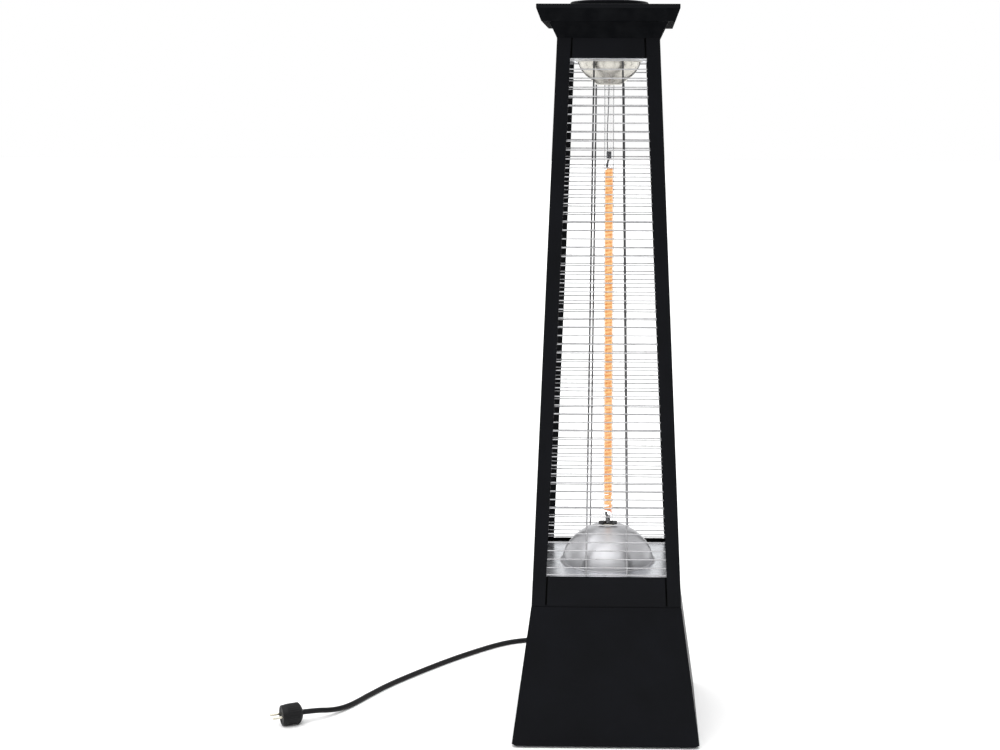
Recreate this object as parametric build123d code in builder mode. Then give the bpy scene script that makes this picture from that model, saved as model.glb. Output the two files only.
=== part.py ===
"""Electric tower heater for a patio: a tapered steel tower round an upright quartz tube.

Millimetres. The origin is on the floor under the middle of the base, +Z is up and the front faces -Y.
"""

import os
from math import atan, cos, hypot, pi, radians, sin, tan

from build123d import *

os.makedirs("parts", exist_ok=True)

# Tower outline: half of the outside width at a height
foot_height = 4.0
base_foot_half = 169.5
base_top_z = 252.5
base_lean = 0.138
cage_foot_z = 255.0
cage_foot_half = 134.8
cage_lean = 0.04507
post_top_z = 1261.0

# Sheet metal
sheet = 1.5
post_sheet = 2.0
post_width = 24.5
groove = 3.0
plate_sheet = 1.5

# Cross panels and the plates inside the cage
lower_panel_top_z = 308.0
upper_panel_foot_z = 1226.7
floor_plate_z = 301.0
ceiling_plate_z = 1225.0

# Fasteners and passages
screw_hole_radius = 2.1
wire_hole_radius = 2.5
wire_standoff = post_sheet + 3.0

# Grilles
wire_radius = 1.1
upright_radius = 1.4
wire_pitch = 15.5
wire_count = 59
top_wire_z = 1223.0
end_wire_z = 311.0
upright_share = 0.287
wire_inset = post_sheet + wire_radius + 0.1
wire_end_gap = 8.0

# Cap
collar_outline = ((89.6, 1261.0), (91.6, 1265.6), (102.5, 1288.5))
crown_outline = ((115.4, 1288.5), (123.4, 1309.8), (123.4, 1316.8))
disc_radius = 70.0
disc_rim_z = 1327.8
disc_top_z = 1332.7
crown_top_z = crown_outline[-1][1]
cap_screw_spread = 100.0

# Heating element, on the tower's axis
tube_radius = 9.0
tube_wall = 1.1
tube_foot_z = 276.0
tube_top_z = 1246.0
coil_radius = 7.5
coil_foot_z = 392.0
coil_top_z = 1036.0
crimp_radius = 4.5
ceramic_radius = 12.0
clip_z = 373.5
clip_sheet = 1.2

# Supply cord
cord_radius = 5.0
cord_floor = cord_radius
hank_radius = 59.0
hank_turns = 2.25
hank_centre = (16.0, 331.0)
hank_foot_z = 1.0
gland_x = 70.0
gland_z = 36.0
boot_length = 30.0
gland_length = 13.0
gland_flats = 11.0
thread_radius = 8.0
thread_length = 12.0
plug_radius = 20.0

# Switches
rocker_z = 180.0
housing_size = (19.0, 27.4)
housing_depth = 20.0
tab_length = 8.0
rocker_tilt = 10.0
plunger_radius = 4.0
plunger_fit = 0.05
plunger_travel = 6.0

sides = {"front": 0, "right": 90, "rear": 180, "left": 270}
corners = {"front_left": (-1, -1), "front_right": (1, -1), "rear_left": (-1, 1), "rear_right": (1, 1)}


def finish(piece, name):
    """Labels a finished piece and writes it."""
    piece.part.label = name
    export_step(piece.part, f"parts/{name}.step")


def base_half(z):
    return base_foot_half - base_lean * (z - foot_height)


def cage_half(z):
    return cage_foot_half - cage_lean * (z - cage_foot_z)


def square(half, z):
    """A square outline across the tower's axis."""
    with BuildSketch(Plane.XY.offset(z)) as outline:
        Rectangle(2 * half, 2 * half)
    return outline.sketch


def taper(low, high, mode=Mode.ADD):
    """A four-sided taper between two squares, each a half width and a height."""
    loft(sections=[square(*low), square(*high)], mode=mode)


def keep_side(turn):
    """Cuts the active part down to the quarter that faces one side, mitred at the corners."""
    reach = 2 * base_foot_half
    with BuildSketch(Plane.XY.rotated((0, 0, turn))) as wedge:
        with BuildLine():
            Polyline((0, 0), (-reach, -reach), (reach, -reach), close=True)
        make_face()
    extrude(to_extrude=wedge.sketch, amount=disc_top_z, mode=Mode.INTERSECT)


def rear_plane(x, z, proud=0.0):
    """A plane on the rear base panel: local X points to -X, Y up the slope, Z outwards."""
    lean = atan(base_lean)
    outward = Vector(0, cos(lean), sin(lean))
    return Plane(origin=Vector(x, base_half(z), z) + outward * proud, x_dir=(-1, 0, 0), z_dir=outward)


def pan_head_screw(plane, shank, head_radius=3.6, shank_radius=1.8, head_height=2.2):
    """A pan head screw with a cross recess: the head stands on the plane, the shank runs below it."""
    with BuildSketch(plane) as head:
        Circle(head_radius)
    extrude(to_extrude=head.sketch, amount=head_height)
    with BuildSketch(plane) as stem:
        Circle(shank_radius)
    extrude(to_extrude=stem.sketch, amount=-shank)
    with BuildSketch(plane.offset(head_height)) as recess:
        Rectangle(head_radius * 1.1, 0.8)
        Rectangle(0.8, head_radius * 1.1)
    extrude(to_extrude=recess.sketch, amount=-1.2, mode=Mode.SUBTRACT)


def turned_route(points, radius_share=0.45):
    """A path of straight runs and tangent arcs, each arc as large as its two runs allow."""
    route = [Vector(*point) for point in points]
    radii = []
    for before, corner, after in zip(route, route[1:], route[2:]):
        run_in = corner - before
        run_out = after - corner
        half_turn = radians(run_in.get_angle(run_out)) / 2
        radii.append(radius_share * min(run_in.length, run_out.length) / tan(half_turn))
    return FilletPolyline(*route, radius=radii), radii


# ---------------------------------------------------------------- base

base_screw_places = [(x, z) for x in (-108.0, 0.0, 108.0) for z in (22.0, 234.0)]

for side, turn in sides.items():
    with BuildPart() as base_panel:
        taper((base_half(foot_height), foot_height), (base_half(base_top_z), base_top_z))
        taper(
            (base_half(0) - sheet, 0),
            (base_half(base_top_z + foot_height) - sheet, base_top_z + foot_height),
            mode=Mode.SUBTRACT,
        )
        keep_side(turn)
        # The lowest corner of each vertical edge is clipped
        clip_low = 2 * base_foot_half - 8
        clip_high = clip_low + 1.6 * (base_top_z - foot_height)
        clips = []
        for half_diagonal, z in ((clip_low, foot_height), (clip_high, base_top_z)):
            with BuildSketch(Plane.XY.offset(z)) as clip:
                Rectangle(half_diagonal * 2**0.5, half_diagonal * 2**0.5, rotation=45)
            clips.append(clip.sketch)
        loft(sections=clips, mode=Mode.INTERSECT)
        if side == "rear":
            with BuildSketch(rear_plane(gland_x, gland_z)) as gland_hole:
                Circle(thread_radius + 0.3)
            extrude(to_extrude=gland_hole.sketch, amount=2 * sheet, both=True, mode=Mode.SUBTRACT)
            with BuildSketch(rear_plane(0, rocker_z)) as switch_hole:
                Rectangle(housing_size[0] + 0.4, housing_size[1] + 0.4)
            extrude(to_extrude=switch_hole.sketch, amount=2 * sheet, both=True, mode=Mode.SUBTRACT)
            for x, z in base_screw_places:
                with BuildSketch(rear_plane(x, z)) as screw_hole:
                    Circle(screw_hole_radius)
                extrude(to_extrude=screw_hole.sketch, amount=2 * sheet, both=True, mode=Mode.SUBTRACT)
    finish(base_panel, f"base_{side}_panel")

with BuildPart() as base_screws:
    for x, z in base_screw_places:
        pan_head_screw(rear_plane(x, z), shank=9)
finish(base_screws, "base_screws")

# Folded into the base's mouth, it carries the cage and holds the tube's lower end
deck_half = 133.5
deck_depth = 6.0
wire_corner = cage_foot_half - wire_standoff
with BuildPart() as base_deck:
    with BuildSketch(Plane.XY.offset(cage_foot_z)):
        Rectangle(2 * deck_half, 2 * deck_half)
    extrude(amount=-deck_depth)
    with BuildSketch(Plane.XY.offset(cage_foot_z - plate_sheet)):
        Rectangle(2 * (deck_half - plate_sheet), 2 * (deck_half - plate_sheet))
    extrude(amount=-deck_depth, mode=Mode.SUBTRACT)
    with BuildSketch(Plane.XY.offset(cage_foot_z)):
        Circle(9)
        with Locations((-wire_corner, wire_corner)):
            Circle(wire_hole_radius)
    extrude(amount=-deck_depth, mode=Mode.SUBTRACT)
finish(base_deck, "base_deck")

bottom_plate_z = foot_height + 2
bottom_plate_half = base_half(bottom_plate_z) - sheet - 0.4
with BuildPart() as bottom_plate:
    with BuildSketch(Plane.XY.offset(bottom_plate_z)):
        RectangleRounded(2 * bottom_plate_half, 2 * bottom_plate_half, 9)
        Circle(plunger_radius + 0.6, mode=Mode.SUBTRACT)
    extrude(amount=plate_sheet)
finish(bottom_plate, "bottom_plate")

foot_spread = 140.0
with BuildPart() as rubber_feet:
    with BuildSketch(Plane.XY):
        with GridLocations(2 * foot_spread, 2 * foot_spread, 2, 2):
            Circle(15)
    extrude(amount=bottom_plate_z)
    chamfer(rubber_feet.edges().group_by(Axis.Z)[0], 1.2)
finish(rubber_feet, "rubber_feet")

# ---------------------------------------------------------------- tip-over switch, on the bottom plate

switch_foot_z = bottom_plate_z + plate_sheet
collar_low_z = switch_foot_z + plunger_travel + 0.1
collar_high_z = collar_low_z + 2
with BuildPart() as tip_switch_body:
    with BuildSketch(Plane.XY.offset(switch_foot_z)):
        RectangleRounded(34, 24, 3)
    extrude(amount=27)
    chamfer(tip_switch_body.faces().sort_by(Axis.Z)[-1].edges(), 1)
    with BuildSketch(Plane.XY.offset(switch_foot_z)):
        Circle(7.1)
    extrude(amount=collar_high_z + 0.6 - switch_foot_z, mode=Mode.SUBTRACT)
    with BuildSketch(Plane.XY.offset(switch_foot_z)):
        Circle(plunger_radius + plunger_fit)
    extrude(amount=25, mode=Mode.SUBTRACT)
    with BuildSketch(Plane.XY.offset(switch_foot_z + 27)):
        with GridLocations(16, 0, 2, 1):
            Rectangle(0.8, 6)
    extrude(amount=7)
finish(tip_switch_body, "tip_switch_body")

plunger_top_z = 25.0
with BuildPart() as tip_switch_plunger:
    with BuildSketch(Plane.XY.offset(0.2)):
        Circle(plunger_radius)
    extrude(amount=plunger_top_z - 0.2)
    with BuildSketch(Plane.XY.offset(collar_low_z)):
        Circle(6.5)
    extrude(amount=collar_high_z - collar_low_z)
    fillet(tip_switch_plunger.edges().group_by(Axis.Z)[0], 1.5)
finish(tip_switch_plunger, "tip_switch_plunger")

spring_top_z = switch_foot_z + 25
spring_wire = 0.35
with BuildPart() as plunger_spring:
    with BuildLine():
        spring_line = Helix(
            pitch=(spring_top_z - plunger_top_z - 2 * spring_wire) / 4,
            height=spring_top_z - plunger_top_z - 2 * spring_wire,
            radius=3.0,
            center=(0, 0, plunger_top_z + spring_wire),
        )
    with BuildSketch(spring_line ^ 0):
        Circle(spring_wire)
    sweep(is_frenet=True)
finish(plunger_spring, "plunger_spring")

# ---------------------------------------------------------------- power switch, in the rear panel

pivot_depth = 2.0
rocker_width = 15.6
panel_plane = rear_plane(0, rocker_z)
pivot = rear_plane(0, rocker_z, -pivot_depth).origin
pivot_plane = Plane(origin=pivot, x_dir=-panel_plane.z_dir, z_dir=(-1, 0, 0))
with BuildPart() as power_switch_housing:
    with BuildSketch(rear_plane(0, rocker_z)):
        RectangleRounded(23, 31, 2.5)
    extrude(amount=2)
    chamfer(power_switch_housing.faces().sort_by(Axis.Y)[-1].edges(), 0.7)
    with BuildSketch(rear_plane(0, rocker_z)):
        Rectangle(*housing_size)
    extrude(amount=-housing_depth)
    with BuildSketch(rear_plane(0, rocker_z, 2)):
        Rectangle(rocker_width + 0.8, 24.8)
    extrude(amount=-16, mode=Mode.SUBTRACT)
    with BuildSketch(pivot_plane):
        Circle(1.25)
    extrude(amount=(rocker_width + 2.4) / 2, both=True, mode=Mode.SUBTRACT)
    with BuildSketch(rear_plane(0, rocker_z, -housing_depth)):
        with GridLocations(0, 9, 1, 3):
            Rectangle(6, 0.8)
    extrude(amount=-tab_length)
finish(power_switch_housing, "power_switch_housing")

# The rocker lies in its on position: its upper half is pressed in
pressed_in = pivot_plane.x_dir.rotate(Axis((0, 0, 0), (-1, 0, 0)), -rocker_tilt)
rocker_plane = Plane(origin=pivot, x_dir=pressed_in, z_dir=(-1, 0, 0))
print("rocker pivot", pivot)
with BuildPart() as power_rocker:
    with BuildSketch(rocker_plane):
        with BuildLine():
            face = ThreePointArc((-5.2, 11), (-2.9, 0), (-5.2, -11))
            Polyline(face @ 1, (2, -10.4), (6.5, -2), (6.5, 2), (2, 10.4), face @ 0)
        make_face()
    extrude(amount=rocker_width / 2, both=True)
    with BuildSketch(rocker_plane):
        Circle(1.2)
    extrude(amount=(rocker_width + 1.8) / 2, both=True)
finish(power_rocker, "power_rocker")

# ---------------------------------------------------------------- cable gland and strain relief

with BuildPart() as cable_gland:
    with BuildSketch(rear_plane(gland_x, gland_z)):
        RegularPolygon(gland_flats, 6, major_radius=False)
    extrude(amount=5)
    with BuildSketch(rear_plane(gland_x, gland_z, 5)):
        Circle(9.5)
    extrude(amount=gland_length - 5)
    fillet(cable_gland.edges().filter_by(GeomType.CIRCLE).sort_by(Axis.Y)[-1], 2.5)
    with BuildSketch(rear_plane(gland_x, gland_z)):
        Circle(thread_radius)
    extrude(amount=-thread_length)
finish(cable_gland, "cable_gland")

with BuildPart() as gland_nut:
    with BuildSketch(rear_plane(gland_x, gland_z, -sheet)):
        RegularPolygon(gland_flats, 6, major_radius=False)
        Circle(thread_radius, mode=Mode.SUBTRACT)
    extrude(amount=-5)
finish(gland_nut, "gland_nut")

with BuildPart() as strain_relief:
    with BuildSketch(rear_plane(gland_x, gland_z, gland_length)):
        Circle(7.2)
    with BuildSketch(rear_plane(gland_x, gland_z, gland_length + boot_length)):
        Circle(cord_radius + 0.6)
    loft()
    for step in range(4):
        with BuildSketch(rear_plane(gland_x, gland_z, gland_length + 5 + 5.5 * step)):
            Circle(8)
            Circle(5.6 - 0.25 * step, mode=Mode.SUBTRACT)
        extrude(amount=1.8, mode=Mode.SUBTRACT)
finish(strain_relief, "strain_relief")

# ---------------------------------------------------------------- cage: posts, cross panels, plates

for corner, (sx, sy) in corners.items():
    sections = []
    for z in (cage_foot_z, post_top_z):
        half = cage_half(z)
        edge, inner, end = half, half - post_sheet, half - post_width
        with BuildSketch(Plane.XY.offset(z)) as angle:
            with BuildLine():
                Polyline(
                    (sx * edge, sy * edge),
                    (sx * end, sy * edge),
                    (sx * end, sy * inner),
                    (sx * inner, sy * inner),
                    (sx * inner, sy * end),
                    (sx * edge, sy * end),
                    close=True,
                )
            make_face()
        sections.append(angle.sketch)
    with BuildPart() as post:
        loft(sections=sections)
        outer_edge = post.edges().filter_by(lambda edge: edge.length > 900)
        fillet(outer_edge.sort_by(lambda edge: -hypot(edge.center().X, edge.center().Y))[0], 1.2)
    finish(post, f"post_{corner}")


def strip(z, half_width, front, back, turn):
    """One rectangle of a cross panel's section at a height, between two distances from the axis."""
    with BuildSketch(Plane.XY.offset(z).rotated((0, 0, turn))) as section:
        with Locations((0, -(front + back) / 2)):
            Rectangle(2 * half_width, front - back)
    return section.sketch


def cross_panel(low_z, high_z, turn):
    """A stepped panel: a face flush with the posts, and a wider layer that passes behind them."""
    face = []
    tail = []
    for z in (low_z, high_z):
        half = cage_half(z)
        face.append(strip(z, half - post_width - groove, half, half - post_sheet, turn))
        tail.append(strip(z, half - 10, half - post_sheet, half - post_sheet - sheet, turn))
    loft(sections=face)
    loft(sections=tail)


def cage_screw_plane(x, z):
    return Plane(origin=(x, cage_half(z), z), x_dir=(-1, 0, 0), z_dir=(0, 1, cage_lean))


levels = {"lower": (cage_foot_z, lower_panel_top_z), "upper": (upper_panel_foot_z, post_top_z)}
rear_screw_places = []
for low_z, high_z in levels.values():
    middle = (low_z + high_z) / 2
    reach = cage_half(middle) - post_width - groove - 8
    rear_screw_places += [(-reach, middle), (reach, middle)]

for level, (low_z, high_z) in levels.items():
    for side, turn in sides.items():
        with BuildPart() as panel:
            cross_panel(low_z, high_z, turn)
            if side == "rear":
                for x, z in rear_screw_places:
                    with BuildSketch(cage_screw_plane(x, z)) as screw_hole:
                        Circle(screw_hole_radius)
                    extrude(to_extrude=screw_hole.sketch, amount=6, both=True, mode=Mode.SUBTRACT)
        finish(panel, f"{level}_{side}_panel")

with BuildPart() as cage_screws:
    for x, z in rear_screw_places:
        pan_head_screw(cage_screw_plane(x, z), shank=10, head_radius=3.2)
finish(cage_screws, "cage_screws")


plate_gap = post_sheet + sheet + 0.2
for name, plate_z in (("floor_reflector_plate", floor_plate_z), ("ceiling_plate", ceiling_plate_z)):
    with BuildPart() as cage_plate:
        with BuildSketch(Plane.XY.offset(plate_z)) as plate_outline:
            half = cage_half(plate_z + plate_sheet) - plate_gap
            Rectangle(2 * half, 2 * half)
            chamfer(plate_outline.vertices(), 12)
            Circle(tube_radius + 0.6, mode=Mode.SUBTRACT)
        extrude(amount=plate_sheet)
    finish(cage_plate, name)

# ---------------------------------------------------------------- grilles

wire_heights = [top_wire_z - wire_pitch * count for count in range(wire_count)] + [end_wire_z]
upright_inset = wire_inset + wire_radius + upright_radius - 0.4
with BuildPart() as grille:
    with BuildSketch(Plane.YZ):
        for z in wire_heights:
            with Locations((-(cage_half(z) - wire_inset), z)):
                Circle(wire_radius)
    extrude(amount=cage_foot_half, both=True)
    # The wires end behind the posts, just short of the wires of the next side
    trim = []
    for z in (end_wire_z - 10, top_wire_z + 10):
        trim.append(strip(z, cage_half(z) - wire_end_gap, cage_foot_half + 10, 0, 0))
    loft(sections=trim, mode=Mode.INTERSECT)
    low_z, high_z = end_wire_z - 2, top_wire_z + 1
    for hand in (-1, 1):
        low, high = (
            Vector(hand * upright_share * (cage_half(z) - 4), -(cage_half(z) - upright_inset), z)
            for z in (low_z, high_z)
        )
        with BuildSketch(Plane(origin=low, z_dir=high - low)):
            Circle(upright_radius)
        extrude(amount=(high - low).length)

for side, turn in sides.items():
    with BuildPart() as side_grille:
        add(grille.part, rotation=(0, 0, turn))
    finish(side_grille, f"grille_{side}")

# ---------------------------------------------------------------- cap


def stacked_taper(outline, mode=Mode.ADD, thinner=0.0, raised=0.0):
    """Tapers between each pair of squares in a cap outline, optionally inside its wall."""
    for (low_half, low_z), (high_half, high_z) in zip(outline, outline[1:]):
        taper((low_half - thinner, low_z + raised), (high_half - thinner, high_z + raised), mode=mode)


with BuildPart() as cap_collar:
    stacked_taper(collar_outline)
    stacked_taper(collar_outline, mode=Mode.SUBTRACT, thinner=sheet, raised=sheet)
    with BuildSketch(Plane.XY.offset(post_top_z)):
        Circle(30)
        web_wire = cage_half(post_top_z) - wire_standoff
        with Locations((-web_wire, web_wire)):
            Circle(wire_hole_radius)
    extrude(amount=sheet, mode=Mode.SUBTRACT)
finish(cap_collar, "cap_collar")

with BuildPart() as cap_crown:
    stacked_taper(crown_outline)
    stacked_taper(
        (
            (crown_outline[0][0] - sheet, crown_outline[0][1] + sheet),
            (crown_outline[1][0] - sheet, crown_outline[1][1]),
            (crown_outline[2][0] - sheet, crown_outline[2][1] - sheet),
        ),
        mode=Mode.SUBTRACT,
    )
    taper((99, 1288), (99, 1291), mode=Mode.SUBTRACT)
    chamfer(cap_crown.faces().sort_by(Axis.Z)[-1].outer_wire().edges(), 0.8)
    with Locations(Plane.XY.offset(crown_top_z)):
        with GridLocations(2 * cap_screw_spread, 2 * cap_screw_spread, 2, 2):
            CounterSinkHole(radius=screw_hole_radius, counter_sink_radius=3.8, depth=3 * sheet)
finish(cap_crown, "cap_crown")

disc_wall = 1.2
disc_edge = 1.5
brow = disc_radius - disc_edge
crown_rise = disc_top_z - disc_rim_z
crown_sphere = (brow**2 + crown_rise**2) / (2 * crown_rise)
lining_sphere = crown_sphere - disc_wall
lining_half = brow - disc_wall
lining_z = disc_top_z - crown_sphere + (lining_sphere**2 - lining_half**2) ** 0.5
with BuildPart() as cap_disc:
    with BuildSketch(Plane.XZ):
        with BuildLine():
            inner = disc_radius - disc_wall
            RadiusArc((0, disc_top_z), (brow, disc_rim_z), crown_sphere)
            Polyline(
                (brow, disc_rim_z),
                (disc_radius, disc_rim_z - disc_edge),
                (disc_radius, crown_top_z),
                (inner, crown_top_z),
                (inner, disc_rim_z - disc_edge - disc_wall),
                (lining_half, lining_z),
            )
            RadiusArc((lining_half, lining_z), (0, disc_top_z - disc_wall), -lining_sphere)
            Line((0, disc_top_z - disc_wall), (0, disc_top_z))
        make_face()
    revolve(axis=Axis.Z)
finish(cap_disc, "cap_disc")

# Countersunk screws, level with the cap
flush = (Align.CENTER, Align.CENTER, Align.MAX)
with BuildPart() as cap_screws:
    with Locations(Plane.XY.offset(crown_top_z)):
        with GridLocations(2 * cap_screw_spread, 2 * cap_screw_spread, 2, 2):
            Cone(bottom_radius=1.8, top_radius=3.6, height=2, align=flush)
            Cylinder(radius=1.8, height=9, align=flush)
            Box(4, 0.8, 1, align=flush, mode=Mode.SUBTRACT)
            Box(0.8, 4, 1, align=flush, mode=Mode.SUBTRACT)
finish(cap_screws, "cap_screws")

# ---------------------------------------------------------------- heating element

with BuildPart() as quartz_tube:
    with BuildSketch(Plane.XY.offset(tube_foot_z)):
        Circle(tube_radius)
        Circle(tube_radius - tube_wall, mode=Mode.SUBTRACT)
    extrude(amount=tube_top_z - tube_foot_z)
finish(quartz_tube, "quartz_tube")

# The spiral is kept here as the hollow cylinder that it winds round
with BuildPart() as heating_coil:
    with BuildSketch(Plane.XY.offset(coil_foot_z)):
        Circle(coil_radius)
        Circle(coil_radius - 2.4, mode=Mode.SUBTRACT)
    extrude(amount=coil_top_z - coil_foot_z)
finish(heating_coil, "heating_coil")

upper_crimp_z = (1051.0, 1064.0)
lower_crimp_z = (372.0, 386.0)


for name, crimp, hook_end_z, wire_end_z in (
    ("upper_lead", upper_crimp_z, coil_top_z, tube_top_z - 4),
    ("lower_lead", lower_crimp_z, coil_foot_z, tube_foot_z + 4),
):
    # A crimped sleeve, with a hook into the coil at one end and its lead wire at the other
    crimp_foot_z, crimp_top_z = crimp
    near, far = (crimp_foot_z, crimp_top_z) if name == "upper_lead" else (crimp_top_z, crimp_foot_z)
    with BuildPart() as lead:
        for radius, start_z, end_z in (
            (crimp_radius, crimp_foot_z, crimp_top_z),
            (1.6, near, hook_end_z),
            (0.8, far, wire_end_z),
        ):
            with BuildSketch(Plane.XY.offset(start_z)):
                Circle(radius)
            extrude(amount=end_z - start_z)
    finish(lead, name)

cap_overlap = 16.0
cap_mouths = (("lower", tube_foot_z + cap_overlap, -1), ("upper", tube_top_z - cap_overlap, 1))
for level, mouth_z, away in cap_mouths:
    with BuildPart() as ceramic_cap:
        with BuildSketch(Plane.XY.offset(mouth_z)):
            Circle(ceramic_radius)
        extrude(amount=away * (cap_overlap + 14))
        chamfer(ceramic_cap.edges().filter_by(GeomType.CIRCLE), 1)
        with BuildSketch(Plane.XY.offset(mouth_z)):
            Circle(tube_radius + 0.05)
        extrude(amount=away * (cap_overlap + 0.2), mode=Mode.SUBTRACT)
    finish(ceramic_cap, f"{level}_ceramic_cap")

# Flanged cups hold the ceramic caps, one on the deck and one on the ceiling plate
cup_radius = ceramic_radius + 0.1
for level, seat_z in (("lower", cage_foot_z), ("upper", ceiling_plate_z + plate_sheet)):
    with BuildPart() as tube_holder:
        with BuildSketch(Plane.XY.offset(seat_z)):
            RectangleRounded(56, 32, 4)
            Circle(cup_radius if level == "lower" else tube_radius + 0.6, mode=Mode.SUBTRACT)
            with GridLocations(44, 0, 2, 1):
                Circle(screw_hole_radius, mode=Mode.SUBTRACT)
        extrude(amount=plate_sheet)
        with BuildSketch(Plane.XY.offset(seat_z)):
            Circle(cup_radius + plate_sheet)
            Circle(cup_radius, mode=Mode.SUBTRACT)
        extrude(amount=18)
    finish(tube_holder, f"{level}_tube_holder")


lower_rim_z = floor_plate_z + plate_sheet
dome_wall = 1.0
dome_hole = tube_radius + 0.5
dome_flange = 4.0
lower_dome_top_z = 369.5
upper_dome_foot_z = 1183.0


def spun_dome(rim, belly, shoulder, crown):
    """A spun shell round the axis: flange, smooth curved wall and a flat end with a hole for the tube.

    The four points are its outside, each a radius and a height, from the rim to the flat end.
    """
    up = dome_wall if crown[1] > rim[1] else -dome_wall
    flat_z = crown[1] - up
    with BuildSketch(Plane.XZ) as outline:
        with BuildLine():
            outside = Spline((rim[0], rim[1] + up), belly, shoulder, crown)
            Polyline(outside @ 1, (dome_hole, crown[1]), (dome_hole, flat_z), (crown[0] - 0.4, flat_z))
            Spline(
                (crown[0] - 0.4, flat_z),
                (shoulder[0] - 0.7, shoulder[1] - 0.8 * up),
                (belly[0] - 0.9, belly[1] - 0.5 * up),
                (rim[0] - dome_wall, rim[1]),
            )
            Polyline(
                (rim[0] - dome_wall, rim[1]),
                (rim[0] + dome_flange, rim[1]),
                (rim[0] + dome_flange, rim[1] + up),
                outside @ 0,
            )
        make_face()
    revolve(profiles=outline.sketch, axis=Axis.Z)


with BuildPart() as lower_dome_reflector:
    spun_dome((85.5, lower_rim_z), (74.0, 334.0), (52.0, 356.0), (24.0, lower_dome_top_z))
finish(lower_dome_reflector, "lower_dome_reflector")

with BuildPart() as upper_dome_reflector:
    spun_dome((55.5, ceiling_plate_z), (47.5, 1206.5), (36.5, 1195.0), (22.0, upper_dome_foot_z))
finish(upper_dome_reflector, "upper_dome_reflector")

# A pale collar round the tube stands on the dome, and a thin black clip on it grips the tube
with BuildPart() as seal_washer:
    with BuildSketch(Plane.XY.offset(lower_dome_top_z)):
        Circle(ceramic_radius)
        Circle(tube_radius + 0.1, mode=Mode.SUBTRACT)
    extrude(amount=clip_z - lower_dome_top_z)
    chamfer(seal_washer.edges().group_by(Axis.Z)[-1].sort_by(SortBy.LENGTH)[-1], 0.8)
finish(seal_washer, "seal_washer")

with BuildPart() as tube_clip:
    with BuildSketch(Plane.XY.offset(clip_z)) as clip_outline:
        Rectangle(35, 21.6)
        chamfer(clip_outline.vertices(), 3)
        Circle(tube_radius + 0.1, mode=Mode.SUBTRACT)
    extrude(amount=clip_sheet)
finish(tube_clip, "tube_clip")

# ---------------------------------------------------------------- wiring inside

core_radius = 1.4
sheath_radius = 3.4
block_y, block_z = 96.0, switch_foot_z
with BuildPart() as terminal_block:
    with BuildSketch(Plane.XY.offset(block_z)):
        with Locations((0, block_y)):
            RectangleRounded(48, 22, 2)
    extrude(amount=9)
    with BuildSketch(Plane.XY.offset(block_z + 9)):
        with Locations((0, block_y)):
            with GridLocations(14, 0, 3, 1):
                RectangleRounded(11, 18, 2)
    extrude(amount=9)
    with BuildSketch(Plane.XY.offset(block_z + 18)):
        with Locations((0, block_y)):
            with GridLocations(14, 11, 3, 2):
                Circle(1.8)
    extrude(amount=-6, mode=Mode.SUBTRACT)
finish(terminal_block, "terminal_block")

gland_inner = rear_plane(gland_x, gland_z, -thread_length).origin
switch_back = rear_plane(0, rocker_z, -(housing_depth + tab_length)).origin
block_front = block_y - 9
block_rear = block_y + 9
wire_z = block_z + 13.5
corner_low, corner_high = (
    Vector(wire_standoff - cage_half(z), cage_half(z) - wire_standoff, z) for z in (cage_foot_z, post_top_z)
)
corner_step = (corner_high - corner_low).normalized()
sheath_route = (
    tuple(gland_inner),
    (gland_x, gland_inner.Y - 18, gland_inner.Z - 1),
    (58, 130, 26),
    (38, 122, wire_z),
    (20, 118, wire_z),
)
wiring_routes = (
    (sheath_radius, sheath_route),
    (
        core_radius,
        (
            (0, block_rear, wire_z),
            (0, 116, wire_z + 4),
            (2, 120, 70),
            (1, 116, 130),
            tuple(switch_back),
        ),
    ),
    (
        core_radius,
        (
            (0, block_front, wire_z),
            (0, 70, wire_z + 4),
            (2, 30, 60),
            (1, 4, 150),
            (0, 0, 230),
            (0, 0, 258),
        ),
    ),
    (
        core_radius,
        (
            (-14, block_rear, wire_z),
            (-16, 116, wire_z + 6),
            (-60, 122, 100),
            (-112, 124, 190),
            tuple(corner_low - corner_step * 20),
            tuple(corner_low + corner_step * 10),
        ),
    ),
)
finish_z = post_top_z + 14
with BuildPart() as internal_wiring:
    for radius, points in wiring_routes:
        with BuildLine() as wire_line:
            turned_route(points)
        with BuildSketch(wire_line.line ^ 0) as wire_section:
            Circle(radius)
        sweep(sections=wire_section.sketch, path=wire_line.line)
finish(internal_wiring, "internal_wiring")

post_wire_route = (
    tuple(corner_low + corner_step * 10),
    tuple(corner_high + corner_step * 2),
    tuple(corner_high + corner_step * 2 + Vector(4, -4, 12)),
    (-40, 40, finish_z + 2),
    (-12, 12, finish_z + 1),
    (0, 0, tube_top_z + 15),
)
with BuildPart() as post_wire:
    with BuildLine() as wire_line:
        FilletPolyline(*post_wire_route, radius=4)
    with BuildSketch(wire_line.line ^ 0) as wire_section:
        Circle(core_radius)
    sweep(sections=wire_section.sketch, path=wire_line.line)
finish(post_wire, "post_wire")

# ---------------------------------------------------------------- supply cord

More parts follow.
